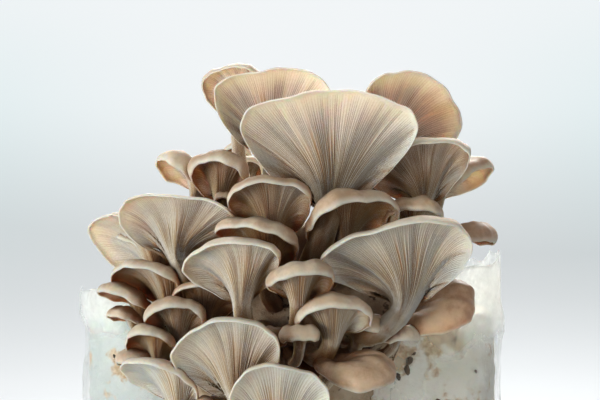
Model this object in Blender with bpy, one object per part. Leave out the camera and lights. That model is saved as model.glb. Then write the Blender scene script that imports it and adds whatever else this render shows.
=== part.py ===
"""Oyster mushroom grow bag: a block of substrate in a clear film bag, with mushrooms on its upper front edge.

Frame: the origin is the middle of the bag's flat bottom, +Z is up, and the cluster grows toward -Y. The
driving dimensions below are in millimetres and degrees, and the meshes are made in metres.
"""

import math
import random

import bmesh
import bpy
import numpy as np
from mathutils import Matrix, Vector

MM = 0.001

# The block, the film round it, and the gap that keeps two touching pieces apart.
BLOCK_WIDTH, BLOCK_DEPTH, BLOCK_HEIGHT = 195.0, 128.0, 200.0
BLOCK_EDGE = 10.0  # radius of its top and bottom edges
BLOCK_SQUARENESS = 4.0  # 2 is an ellipse in plan, larger is squarer
FILM_THICKNESS = 0.6
GAP = 0.4
COLLAR_HEIGHT = 14.0  # how far the loose collar stands above the block
COLLAR_SLOPE = 9.0  # it stands higher at +X by this, and lower at -X
COLLAR_WAVE = 3.0

# The fused mass that the stems grow from.
BASE_CENTRE = np.array((-5.0, -52.0, 178.0))
BASE_RADII = np.array((54.0, 31.0, 58.0))
BASE_MARGIN = 1.5  # the film's opening round it

RIM_THICKNESS = 1.1
FLESH_THICKNESS = 3.2

# Linear colour, roughness and alpha of each material.
MATERIALS = {
    "mushroom": ((0.60, 0.53, 0.44), 0.60, 1.0),
    "fused_stems": ((0.62, 0.55, 0.44), 0.70, 1.0),
    "substrate": ((0.55, 0.52, 0.43), 0.90, 1.0),
    "clear_film": ((0.85, 0.90, 0.90), 0.15, 0.3),
}

# How finely a mushroom is faceted, by its width: sides, then steps up the stem, along the gills, over the top.
FACETS = (
    (40, 12, (0.0, 0.5), (0.35, 0.7, 1.0), (0.5,)),
    (26, 10, (0.0, 0.5), (0.5, 1.0), (0.45,)),
    (0, 7, (0.0, 0.5), (1.0,), (0.45,)),
)

# One row per mushroom, the strongest first: where two would meet, the later one grew round the earlier.
# name, hub (x, y, z), heading, pitch, lean, length, width, back, fan, curl, stem radius
#   hub      where the gills run together on the stem
#   heading  the way the cap grows from its stem, 0 toward -Y and 90 toward +X
#   pitch    how far that way points up; at 90 the gills face forward
#   lean     turn of the cap in its own plane, + clockwise seen from the gills
#   length   hub to the front of the rim; back: hub to the rim behind
#   fan      0 for a round cap, 0.6 for a wedge-shaped one
#   curl     how far the rim turns down
GROWTH = (
    ("crown_front", (17, -86, 250), 0, 80, -1, 48, 74, 3, 0.35, 25, 5.4),
    ("crown_left", (-9, -46, 272), 0, 78, 5, 39, 56, 3, 0.30, 35, 4.0),
    ("crown_right", (41, -48, 271), 10, 75, 36, 41, 50, 4, 0.35, 35, 4.0),
    ("right_big", (48, -100, 208), 0, 56, -9, 41, 65, 4, 0.50, 30, 4.6),
    ("left_big", (-48, -80, 227), -10, 64, 6, 28, 57, 4, 0.40, 25, 4.4),
    ("middle_left", (-19, -108, 211), -15, 58, -12, 27, 46, 3, 0.45, 40, 3.9),
    ("lower_left", (-21, -120, 172), -5, 60, -9, 36, 45, 5, 0.35, 25, 4.0),
    ("lower_front", (-5, -124, 155), 0, 58, 2, 35, 41, 5, 0.30, 25, 4.0),
    ("upper_right_front", (59, -68, 251), 0, 64, -14, 30, 50, 4, 0.45, 35, 3.6),
    ("crown_back", (-24, -14, 292), -20, 70, -15, 25, 32, 4, 0.20, 45, 3.2),
    ("upper_left_front", (-8, -92, 240), -5, 40, 0, 29, 35, 8, 0.15, 45, 3.6),
    ("upper_right_low", (22, -88, 235), 30, 34, -6, 30, 43, 9, 0.15, 45, 3.6),
    ("left_front", (-9, -95, 226), -30, 32, 0, 28, 35, 8, 0.15, 45, 3.4),
    ("upper_right_side", (64, -46, 248), 65, 34, 0, 34, 32, 5, 0.20, 40, 3.2),
    ("middle_front", (3, -115, 212), 15, 30, 0, 20, 28, 5, 0.10, 55, 3.6),
    ("middle_right", (17, -112, 196), 8, 36, 0, 21, 32, 5, 0.15, 55, 3.6),
    ("right_brown", (48, -80, 198), -25, -42, 115, 34, 30, 5, 0.10, 40, 3.4),
    ("lower_right", (16, -110, 181), 0, -15, 60, 30, 28, 5, 0.10, 45, 3.4),
    ("left_top", (-58, -66, 219), -35, 60, -52, 38, 33, 5, 0.20, 30, 3.2),
    ("left_top_low", (-58, -46, 220), -60, 35, -10, 26, 26, 5, 0.20, 30, 3.0),
    ("left_second", (-52, -78, 206), -32, 38, -25, 29, 32, 5, 0.20, 35, 3.2),
    ("lower_left_side", (-45, -108, 166), -40, 40, -12, 30, 36, 5, 0.20, 30, 3.4),
    ("upper_left_back", (-31, -62, 253), -10, 54, 0, 23, 28, 4, 0.15, 45, 3.0),
    ("upper_left_side", (-42, -45, 253), -60, 42, 0, 27, 24, 4, 0.15, 40, 2.8),
    ("right_far", (71, -65, 231), 50, 8, 8, 21, 26, 4, 0.10, 50, 3.0),
    ("left_inner", (-37, -82, 200), 0, 46, 0, 20, 28, 4, 0.10, 50, 3.0),
    ("left_third", (-65, -72, 202), -60, 26, 0, 22, 24, 4, 0.15, 35, 2.8),
    ("left_middle", (-47, -90, 193), -5, 46, -8, 21, 27, 4, 0.15, 40, 3.0),
    ("left_low", (-56, -92, 183), -15, 46, -12, 19, 23, 4, 0.15, 35, 2.8),
    ("left_low_side", (-60, -86, 179), -50, 12, 0, 17, 17, 4, 0.10, 35, 2.4),
    ("left_fourth", (-68, -68, 195), -50, 20, 0, 15, 16, 3, 0.10, 40, 2.4),
    ("right_small", (28, -95, 192), 10, 26, 0, 16, 27, 4, 0.10, 50, 2.8),
    ("right_small_side", (44, -88, 190), 40, 10, 0, 12, 15, 3, 0.10, 50, 2.2),
    ("upper_right_inner", (52, -75, 239), 10, 26, 0, 20, 27, 4, 0.10, 45, 2.8),
    ("upper_right_back", (71, -20, 260), 20, 60, 0, 17, 25, 4, 0.10, 40, 2.6),
    ("right_behind", (60, -56, 219), 10, 55, 0, 13, 15, 3, 0.10, 45, 2.4),
    ("lower_left_small", (-33, -108, 158), -5, 36, 0, 16, 20, 4, 0.10, 40, 2.6),
    ("young_back_left", (-27, 8, 265), -10, 60, 0, 14, 16, 3, 0.10, 45, 2.4),
    ("young_back_right", (-22, -2, 260), 5, 55, 0, 13, 15, 3, 0.10, 45, 2.4),
    ("young_middle", (4, -119, 193), 0, 16, 0, 9, 16, 3, 0.10, 50, 2.2),
    ("young_middle_left", (-10, -104, 190), 5, 30, 20, 10, 15, 3, 0.10, 40, 2.0),
    ("young_upper_right", (20, -65, 250), 10, 45, 0, 12, 14, 3, 0.10, 45, 2.2),
    ("young_upper_left", (-29, -72, 247), -10, 45, 0, 7, 8, 2, 0.05, 45, 1.5),
    ("young_left", (-57, -50, 227), -30, 50, 0, 12, 14, 3, 0.10, 40, 2.2),
    ("young_low", (-30, -105, 172), 0, 35, 0, 6, 8, 2, 0.05, 45, 1.6),
)


def unit(v):
    return v / np.linalg.norm(v)


def bezier(a, b, c, d, t):
    s = 1 - t
    return s**3 * a + 3 * s * s * t * b + 3 * s * t * t * c + t**3 * d


def directions(heading, pitch, lean):
    """Unit vectors of a cap: forward, sideways, and out of its top."""
    h, p, turn = (math.radians(angle) for angle in (heading, pitch, lean))
    ahead = np.array(
        (math.sin(h) * math.cos(p), -math.cos(h) * math.cos(p), math.sin(p))
    )
    side = np.array((math.cos(h), math.sin(h), 0.0))
    top = np.cross(ahead, side)
    forward = ahead * math.cos(turn) + side * math.sin(turn)
    return forward, np.cross(top, forward), top


def root_of(hub):
    """Where a stem leaves the base, and the way it leaves: straight out from the middle."""
    ray = unit((hub - BASE_CENTRE) / BASE_RADII)
    return BASE_CENTRE + 0.86 * BASE_RADII * ray, unit(ray / BASE_RADII)


def mushroom_rings(row):
    """The rings of points of one mushroom, from the foot of its stem, round the rim, to its top's middle."""
    name, hub, heading, pitch, lean, length, width, back, fan, curl, stem = row
    sides, stem_steps, gill_steps, top_steps = next(f[1:] for f in FACETS if width >= f[0])
    hub = np.array(hub, float)
    forward, side, top = directions(heading, pitch, lean)
    root, leaving = root_of(hub)
    rng = random.Random(name)
    phases = [rng.uniform(0, math.tau) for _ in range(4)]
    reach = np.linalg.norm(hub - root)
    rise = unit(0.55 * unit(hub - root) + 0.45 * top)
    neck = hub - top * stem * 1.1 - rise * min(0.12 * length, 0.3 * reach)
    angles = [math.tau * k / sides for k in range(sides)]

    def loop(centre, axis, radius):
        first = unit(np.cross(side, axis))
        second = np.cross(axis, first)
        return np.array(
            [centre + radius * (math.cos(a) * first + math.sin(a) * second) for a in angles]
        )

    rings = []
    pull = 0.4 * reach
    for t in stem_steps:
        args = (root, root + leaving * pull, neck - rise * pull, neck)
        centre = bezier(*args, t)
        axis = unit(bezier(*args, min(t + 0.02, 1)) - bezier(*args, max(t - 0.02, 0)))
        rings.append(loop(centre, axis, stem * (1.15 - 0.25 * t)))
    collar = loop(neck, rise, stem)
    rings.append(collar)

    rim, arrive = [], []
    down = math.radians(curl)
    middle, half = (length - back) / 2, (length + back) / 2
    for a in angles:
        wave = 0.03 * math.sin(3 * a + phases[0]) + 0.02 * math.sin(5 * a + phases[1])
        along = (middle + half * math.cos(a)) * (1 + wave)
        across = 0.5 * width * math.sin(a) * (1 + fan * math.cos(a)) / (1 + 0.35 * fan**1.5)
        flat = forward * along + side * across * (1 + wave)
        lift = 0.04 * width * math.sin(2 * a + phases[2]) * math.sin(a / 2) ** 0.5
        rim.append(hub + flat + top * lift)
        arrive.append(unit(flat) * math.cos(down) - top * math.sin(down))
    rim, arrive = np.array(rim), np.array(arrive)
    span = np.linalg.norm(rim - collar, axis=1, keepdims=True)
    for t in gill_steps:
        rings.append(
            bezier(collar, collar + rise * 0.3 * span, rim - arrive * 0.45 * span, rim, t)
        )
    over = rim + top * RIM_THICKNESS
    crown = hub + forward * 0.12 * length + top * FLESH_THICKNESS * 0.6
    outer = np.linalg.norm(over - crown, axis=1, keepdims=True)
    rings.append(over)
    for t in top_steps:
        rings.append(
            bezier(
                over,
                over - arrive * 0.45 * outer + top * FLESH_THICKNESS * 0.5,
                crown + (over - crown) * 0.3 + top * FLESH_THICKNESS,
                crown,
                t,
            )
        )
    return rings, root, crown


def mesh_object(name, points, faces):
    mesh = bpy.data.meshes.new(name)
    mesh.from_pydata([tuple(p) for p in np.asarray(points) * MM], [], faces)
    obj = bpy.data.objects.new(name, mesh)
    bpy.context.scene.collection.objects.link(obj)
    return obj


def skin(name, rings, first, last):
    """A closed surface through rings of equal size, with a point at each end."""
    sides = len(rings[0])
    points = [p for ring in rings for p in ring] + [first, last]
    faces = []
    for k in range(len(rings) - 1):
        for i in range(sides):
            j = (i + 1) % sides
            a, b = k * sides, (k + 1) * sides
            faces += [(a + i, a + j, b + j), (a + i, b + j, b + i)]
    tail = (len(rings) - 1) * sides
    for i in range(sides):
        j = (i + 1) % sides
        faces.append((len(points) - 2, j, i))
        faces.append((len(points) - 1, tail + i, tail + j))
    obj = mesh_object(name, points, faces)
    face_out(obj)
    return obj


def face_out(obj):
    """Makes the faces agree and point out of the solid."""
    work = bmesh.new()
    work.from_mesh(obj.data)
    bmesh.ops.recalc_face_normals(work, faces=work.faces)
    if work.calc_volume(signed=True) < 0:
        bmesh.ops.reverse_faces(work, faces=work.faces)
    work.to_mesh(obj.data)
    work.free()


def grown(obj, by):
    """A copy that is larger all round, to cut with."""
    copy = obj.copy()
    copy.data = obj.data.copy()
    copy.name = obj.name + "_cutter"
    bpy.context.scene.collection.objects.link(copy)
    work = bmesh.new()
    work.from_mesh(copy.data)
    work.normal_update()
    moves = [v.normal * by * MM for v in work.verts]
    for vert, move in zip(work.verts, moves):
        vert.co += move
    work.to_mesh(copy.data)
    work.free()
    return copy


def box_of(obj):
    points = np.array([v.co for v in obj.data.vertices])
    return points.min(axis=0), points.max(axis=0)


def meet(a, b):
    (low_a, high_a), (low_b, high_b) = box_of(a), box_of(b)
    return (low_a < high_b).all() and (low_b < high_a).all()


def keep_largest(obj):
    """Drops the crumbs that a cut leaves."""
    work = bmesh.new()
    work.from_mesh(obj.data)
    left, pieces = set(work.verts), []
    while left:
        piece, edge = set(), [left.pop()]
        while edge:
            vert = edge.pop()
            piece.add(vert)
            for link in vert.link_edges:
                other = link.other_vert(vert)
                if other in left:
                    left.remove(other)
                    edge.append(other)
        pieces.append(piece)
    sizes = []
    for piece in pieces:
        faces = {face for vert in piece for face in vert.link_faces}
        sizes.append(
            abs(
                sum(
                    face.calc_center_median().dot(face.normal) * face.calc_area()
                    for face in faces
                )
            )
        )
    best = pieces[sizes.index(max(sizes))]
    bmesh.ops.delete(work, geom=[v for v in work.verts if v not in best], context="VERTS")
    bmesh.ops.triangulate(work, faces=work.faces)
    work.to_mesh(obj.data)
    work.free()


def cut(obj, cutters):
    """Takes the cutters out of the object, and keeps the one body that is left.

    The solver is MANIFOLD, because EXACT leaves some of these thin, close caps uncut.
    """
    used = [cutter for cutter in cutters if meet(obj, cutter)]
    for cutter in used:
        modifier = obj.modifiers.new(cutter.name, "BOOLEAN")
        modifier.operation = "DIFFERENCE"
        modifier.solver = "MANIFOLD"
        modifier.object = cutter
        graph = bpy.context.evaluated_depsgraph_get()
        mesh = bpy.data.meshes.new_from_object(obj.evaluated_get(graph))
        obj.modifiers.clear()
        obj.data = mesh
    if used:
        keep_largest(obj)


def plan_ring(z, inset, sides=24, wave=0.0, slope=0.0, lift=0.0):
    """A ring round the block's plan, drawn in by inset, with a wave for loose film."""
    ring = []
    for k in range(sides):
        a = math.tau * k / sides
        c, s = math.cos(a), math.sin(a)
        x = math.copysign(abs(c) ** (2 / BLOCK_SQUARENESS), c)
        y = math.copysign(abs(s) ** (2 / BLOCK_SQUARENESS), s)
        out = wave * math.sin(5 * a + 0.8) - inset
        ring.append(
            (
                x * (BLOCK_WIDTH / 2 + out),
                y * (BLOCK_DEPTH / 2 + out),
                z + slope * c + lift * math.sin(3 * a + 2.4),
            )
        )
    return ring


def make_block():
    low = FILM_THICKNESS + GAP
    high = BLOCK_HEIGHT
    rings = [
        plan_ring(low, BLOCK_EDGE),
        plan_ring(low + 0.3 * BLOCK_EDGE, 0.3 * BLOCK_EDGE),
        plan_ring(low + BLOCK_EDGE, 0.0),
        plan_ring(high - BLOCK_EDGE, 0.0),
        plan_ring(high - 0.3 * BLOCK_EDGE, 0.3 * BLOCK_EDGE),
        plan_ring(high, BLOCK_EDGE),
    ]
    return skin("substrate_block", rings, (0, 0, low), (0, 0, high))


def make_film():
    """The bag: an outer and an inner skin joined over the collar's edge."""
    inner, outer = -GAP, -GAP - FILM_THICKNESS
    high = BLOCK_HEIGHT
    top = high + COLLAR_HEIGHT

    def levels(inset, floor):
        return [
            plan_ring(floor, BLOCK_EDGE + inset * 0.5),
            plan_ring(floor + 0.3 * BLOCK_EDGE, 0.3 * BLOCK_EDGE + inset),
            plan_ring(floor + BLOCK_EDGE, inset),
            plan_ring(high - BLOCK_EDGE, inset),
            plan_ring(high, inset, wave=0.3 * COLLAR_WAVE),
            plan_ring(top, inset - 2.0, 24, COLLAR_WAVE, COLLAR_SLOPE, COLLAR_WAVE),
        ]

    rings = levels(outer, 0.0) + levels(inner, FILM_THICKNESS)[::-1]
    return skin("bag_film", rings, (0, 0, 0), (0, 0, FILM_THICKNESS))


def make_base():
    """A lumpy egg, which the block is then cut out of."""
    rng = random.Random("base")
    work = bmesh.new()
    bmesh.ops.create_icosphere(work, subdivisions=2, radius=1.0)
    lumps = [
        Vector((rng.gauss(0, 1), rng.gauss(0, 1), rng.gauss(0, 1))).normalized()
        for _ in range(9)
    ]
    points, faces = [], []
    for vert in work.verts:
        swell = max(math.exp(6 * (vert.co.dot(lump) - 1)) for lump in lumps)
        points.append(BASE_CENTRE + np.array(vert.co) * BASE_RADII * (0.95 + 0.07 * swell))
    faces = [[v.index for v in face.verts] for face in work.faces]
    work.free()
    obj = mesh_object("cluster_base", points, faces)
    face_out(obj)
    return obj


def make_materials():
    made = {}
    for name, (colour, roughness, alpha) in MATERIALS.items():
        material = bpy.data.materials.new(name)
        material.use_nodes = True
        shader = material.node_tree.nodes["Principled BSDF"]
        shader.inputs["Base Color"].default_value = (*colour, 1.0)
        shader.inputs["Roughness"].default_value = roughness
        shader.inputs["Metallic"].default_value = 0.0
        shader.inputs["Alpha"].default_value = alpha
        made[name] = material
    return made


def finish(obj, material, origin, parent):
    """Moves the object's origin to a point of its own, and gives it its material and parent."""
    place = Vector(origin) * MM
    obj.data.transform(Matrix.Translation(-place))
    obj.location = place
    obj.parent = parent
    obj.data.materials.clear()
    obj.data.materials.append(material)
    obj.data.shade_smooth()


def main():
    for obj in list(bpy.data.objects):
        bpy.data.objects.remove(obj, do_unlink=True)

    materials = make_materials()
    bag = bpy.data.objects.new("grow_bag", None)
    bpy.context.scene.collection.objects.link(bag)
    block, film, base = make_block(), make_film(), make_base()
    helpers = [grown(block, GAP), grown(base, BASE_MARGIN), grown(base, GAP)]
    block_cutter, base_opening, base_cutter = helpers
    cut(base, [block_cutter])
    cut(film, [base_opening])
    film_cutter = grown(film, GAP)
    helpers.append(film_cutter)

    earlier = [block_cutter, base_cutter, film_cutter]
    mushrooms = []
    for row in GROWTH:
        rings, root, crown = mushroom_rings(row)
        body = skin(row[0], rings, root, crown)
        cut(body, earlier)
        cutter = grown(body, GAP)
        helpers.append(cutter)
        earlier += [cutter, body]
        mushrooms.append((body, row[1]))

    for helper in helpers:
        bpy.data.objects.remove(helper, do_unlink=True)
    for body, hub in mushrooms:
        finish(body, materials["mushroom"], hub, bag)
    finish(block, materials["substrate"], (0, 0, 0), bag)
    finish(film, materials["clear_film"], (0, 0, 0), bag)
    finish(base, materials["fused_stems"], tuple(BASE_CENTRE), bag)


main()
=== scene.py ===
"""The looks of the oyster mushroom grow bag: gilled mushrooms, clear film and the block inside it."""

import math
import random

import bmesh
import bpy
import numpy as np
from mathutils import Matrix, Vector, noise


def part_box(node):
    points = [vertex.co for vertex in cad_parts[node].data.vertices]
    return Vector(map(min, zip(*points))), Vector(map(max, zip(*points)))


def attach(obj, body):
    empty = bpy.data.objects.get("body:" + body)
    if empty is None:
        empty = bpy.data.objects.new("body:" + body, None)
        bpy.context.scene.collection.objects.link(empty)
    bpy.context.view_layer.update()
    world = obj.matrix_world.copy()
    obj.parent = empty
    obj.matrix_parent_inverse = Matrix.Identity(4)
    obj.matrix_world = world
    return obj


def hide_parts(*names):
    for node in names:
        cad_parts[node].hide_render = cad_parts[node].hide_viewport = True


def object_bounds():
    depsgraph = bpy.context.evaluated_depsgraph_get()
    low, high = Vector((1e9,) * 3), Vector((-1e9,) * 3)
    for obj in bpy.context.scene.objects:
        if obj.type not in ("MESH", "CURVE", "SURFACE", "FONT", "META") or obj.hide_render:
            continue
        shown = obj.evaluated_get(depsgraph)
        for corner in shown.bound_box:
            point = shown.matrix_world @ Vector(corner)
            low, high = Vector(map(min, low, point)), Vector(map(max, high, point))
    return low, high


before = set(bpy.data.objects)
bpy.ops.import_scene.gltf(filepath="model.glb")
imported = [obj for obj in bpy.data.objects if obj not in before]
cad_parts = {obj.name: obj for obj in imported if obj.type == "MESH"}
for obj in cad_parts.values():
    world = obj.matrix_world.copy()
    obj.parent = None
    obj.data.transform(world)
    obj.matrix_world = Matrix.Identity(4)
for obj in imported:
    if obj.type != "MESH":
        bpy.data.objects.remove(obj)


def plain_bounds():
    return [[float(c) for c in corner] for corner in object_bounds()]


CAD_BOX = plain_bounds()
MM = 0.001

# --------------------------------------------------------------------------------------------------
# The growth rows: name, hub, heading, pitch, lean, length, width, back, fan, curl and stem radius
# are as in the part. Two more are for the looks: tint, how grey-brown the top of the cap is, 0 to 1,
# and roll, how far its margin turns down. Lengths are in mm and angles in degrees.
# --------------------------------------------------------------------------------------------------
BASE_CENTRE = np.array((-5.0, -52.0, 178.0))
BASE_RADII = np.array((54.0, 31.0, 58.0))
INNER_RADII = np.array((36.0, 24.0, 46.0))  # the heart of the cluster, toward which shade is painted into the mushrooms' colour, browner and darker
RIM_THICKNESS = 1.1
FLESH_THICKNESS = 3.2
GROWTH = (
    ("crown_front", (17, -86, 250), 0, 80, -1, 48, 74, 3, 0.35, 25, 5.4, 0.3, 35),
    ("crown_left", (-9, -46, 272), 0, 78, 5, 39, 56, 3, 0.30, 35, 4.0, 0.3, 45),
    ("crown_right", (41, -48, 271), 10, 75, 36, 41, 50, 4, 0.35, 35, 4.0, 0.2, 45),
    ("right_big", (48, -100, 208), 0, 56, -9, 41, 65, 4, 0.5, 30, 4.6, 0.5, 60),
    ("left_big", (-48, -80, 227), -10, 64, 6, 28, 57, 4, 0.40, 25, 4.4, 0.2, 50),
    ("middle_left", (-19, -108, 211), -15, 58, -12, 27, 46, 3, 0.45, 40, 3.9, 0.2, 58),
    ("lower_left", (-21, -120, 172), -5, 60, -9, 36, 45, 5, 0.35, 25, 4.0, 0.2, 60),
    ("lower_front", (-5, -124, 155), 0, 58, 2, 35, 41, 5, 0.30, 25, 4.0, 0.2, 50),
    ("upper_right_front", (59, -68, 251), 0, 64, -14, 30, 50, 4, 0.45, 35, 3.6, 0.5, 75),
    ("crown_back", (-24, -14, 292), -20, 70, -15, 25, 32, 4, 0.20, 45, 3.2, 0.3, 70),
    ("upper_left_front", (-8, -92, 240), -5, 40, 0, 29, 35, 8, 0.15, 45, 3.6, 0.7, 55),
    ("upper_right_low", (22, -88, 235), 30, 34, -6, 30, 43, 9, 0.15, 45, 3.6, 0.7, 62),
    ("left_front", (-9, -95, 226), -30, 32, 0, 28, 35, 8, 0.15, 45, 3.4, 0.6, 58),
    ("upper_right_side", (64, -46, 248), 65, 34, 0, 34, 32, 5, 0.20, 40, 3.2, 0.6, 70),
    ("middle_front", (3, -115, 212), 15, 30, 0, 20, 28, 5, 0.10, 55, 3.6, 0.5, 62),
    ("middle_right", (17, -112, 196), 8, 36, 0, 21, 32, 5, 0.15, 55, 3.6, 0.4, 62),
    ("right_brown", (48, -80, 198), -25, -42, 115, 34, 30, 5, 0.10, 40, 3.4, 1.0, 60),
    ("lower_right", (16, -110, 181), 0, -15, 60, 30, 28, 5, 0.10, 45, 3.4, 0.8, 60),
    ("left_top", (-58, -66, 219), -35, 60, -52, 38, 33, 5, 0.20, 30, 3.2, 0.2, 50),
    ("left_top_low", (-58, -46, 220), -60, 35, -10, 26, 26, 5, 0.20, 30, 3.0, 0.3, 70),
    ("left_second", (-52, -78, 206), -32, 38, -25, 29, 32, 5, 0.20, 35, 3.2, 0.4, 62),
    ("lower_left_side", (-45, -108, 166), -40, 40, -12, 30, 36, 5, 0.20, 30, 3.4, 0.2, 50),
    ("upper_left_back", (-31, -62, 253), -10, 54, 0, 23, 28, 4, 0.15, 45, 3.0, 0.6, 90),
    ("upper_left_side", (-42, -45, 253), -60, 42, 0, 27, 24, 4, 0.15, 40, 2.8, 0.4, 80),
    ("right_far", (71, -65, 231), 50, 8, 8, 21, 26, 4, 0.10, 50, 3.0, 0.8, 75),
    ("left_inner", (-37, -82, 200), 0, 46, 0, 20, 28, 4, 0.10, 50, 3.0, 0.7, 50),
    ("left_third", (-65, -72, 202), -60, 26, 0, 22, 24, 4, 0.15, 35, 2.8, 0.4, 62),
    ("left_middle", (-47, -90, 193), -5, 46, -8, 21, 27, 4, 0.15, 40, 3.0, 0.6, 80),
    ("left_low", (-56, -92, 183), -15, 46, -12, 19, 23, 4, 0.15, 35, 2.8, 0.5, 80),
    ("left_low_side", (-60, -86, 179), -50, 12, 0, 17, 17, 4, 0.10, 35, 2.4, 0.4, 80),
    ("left_fourth", (-68, -68, 195), -50, 20, 0, 15, 16, 3, 0.10, 40, 2.4, 0.5, 62),
    ("right_small", (28, -95, 192), 10, 26, 0, 16, 27, 4, 0.10, 50, 2.8, 0.8, 80),
    ("right_small_side", (44, -88, 190), 40, 10, 0, 12, 15, 3, 0.10, 50, 2.2, 0.4, 80),
    ("upper_right_inner", (52, -75, 239), 10, 26, 0, 20, 27, 4, 0.10, 45, 2.8, 0.8, 70),
    ("upper_right_back", (71, -20, 260), 20, 60, 0, 17, 25, 4, 0.10, 40, 2.6, 0.3, 80),
    ("right_behind", (60, -56, 219), 10, 55, 0, 13, 15, 3, 0.10, 45, 2.4, 0.6, 80),
    ("lower_left_small", (-33, -108, 158), -5, 36, 0, 16, 20, 4, 0.10, 40, 2.6, 0.4, 80),
    ("young_back_left", (-27, 8, 265), -10, 60, 0, 14, 16, 3, 0.10, 45, 2.4, 0.1, 80),
    ("young_back_right", (-22, -2, 260), 5, 55, 0, 13, 15, 3, 0.10, 45, 2.4, 0.1, 80),
    ("young_middle", (4, -119, 193), 0, 16, 0, 9, 16, 3, 0.10, 50, 2.2, 0.6, 80),
    ("young_middle_left", (-10, -104, 190), 5, 30, 20, 10, 15, 3, 0.10, 40, 2.0, 0.6, 80),
    ("young_upper_right", (20, -65, 250), 10, 45, 0, 12, 14, 3, 0.10, 45, 2.2, 0.6, 80),
    ("young_upper_left", (-29, -72, 247), -10, 45, 0, 7, 8, 2, 0.05, 45, 1.5, 0.6, 80),
    ("young_left", (-57, -50, 227), -30, 50, 0, 12, 14, 3, 0.10, 40, 2.2, 0.4, 80),
    ("young_low", (-30, -105, 172), 0, 35, 0, 6, 8, 2, 0.05, 45, 1.6, 0.4, 80),
)

# How finely a mushroom is drawn.
PAIRS_PER_MM = 1.2  # pairs of a long and a short gill, for each millimetre of the cap's width
FEWEST_PAIRS = 32
STEM_RINGS, GILL_RINGS, ROLL_RINGS, TOP_RINGS = 9, 13, 5, 6
RIM_STEPS = 720  # for measuring the way round a rim
# How deep the hollows between gills are under a cap 80 mm wide, and on its stem, in mm.
GILL_DEPTH = 1.5
STEM_GILL_DEPTH = 0.5
# Places across one pair of gills, and the height there of the long one and of the short one.
GILL_PLACES = np.array((0.0, 0.27, 0.5, 0.73))
LONG_GILL = np.array((1.0, 0.0, 0.0, 0.0))
SHORT_GILL = np.array((0.0, 0.0, 1.0, 0.0))


def unit(v):
    return v / np.linalg.norm(v, axis=-1, keepdims=True)


def smoothstep(low, high, x):
    t = np.clip((x - low) / (high - low), 0, 1)
    return t * t * (3 - 2 * t)


def bezier(a, b, c, d, t):
    s = 1 - t
    return s**3 * a + 3 * s * s * t * b + 3 * s * t * t * c + t**3 * d


def directions(heading, pitch, lean):
    """Unit vectors of a cap: forward, sideways, and out of its top."""
    h, p, turn = (math.radians(angle) for angle in (heading, pitch, lean))
    ahead = np.array((math.sin(h) * math.cos(p), -math.cos(h) * math.cos(p), math.sin(p)))
    side = np.array((math.cos(h), math.sin(h), 0.0))
    top = np.cross(ahead, side)
    forward = ahead * math.cos(turn) + side * math.sin(turn)
    return forward, np.cross(top, forward), top


def root_of(hub):
    """Where a stem leaves the base, and the way it leaves."""
    ray = unit((hub - BASE_CENTRE) / BASE_RADII)
    return BASE_CENTRE + 0.86 * BASE_RADII * ray, unit(ray / BASE_RADII)


def grid_mesh(name, rings, first, last, attributes):
    """A closed mesh through rings of equal size, with a point at each end.

    Each attribute has a value for every point.
    """
    count, sides = rings.shape[:2]
    points = np.concatenate((rings.reshape(-1, 3), first[None], last[None])) * MM
    k, i = np.meshgrid(np.arange(count - 1), np.arange(sides), indexing="ij")
    j = (i + 1) % sides
    quads = np.stack((k * sides + i, k * sides + j, (k + 1) * sides + j, (k + 1) * sides + i), -1)
    ring = np.arange(sides)
    after = (ring + 1) % sides
    tail = (count - 1) * sides
    foot = np.stack((np.full(sides, count * sides), after, ring), -1)
    head = np.stack((np.full(sides, count * sides + 1), tail + ring, tail + after), -1)
    faces = quads.reshape(-1, 4).tolist() + foot.tolist() + head.tolist()
    mesh = bpy.data.meshes.new(name)
    mesh.from_pydata(points, [], faces)
    for key, values in attributes.items():
        layer = mesh.attributes.new(key, "FLOAT", "POINT")
        layer.data.foreach_set("value", values.astype(np.float32))
    mesh.shade_smooth()
    obj = bpy.data.objects.new(name, mesh)
    bpy.context.scene.collection.objects.link(obj)
    return obj


def wavy(a, phases, *terms):
    """A sum of sines round a ring: (how many waves, how high) for each term."""
    return sum(high * np.sin(count * a + phases[k % len(phases)]) for k, (count, high) in enumerate(terms))


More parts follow.
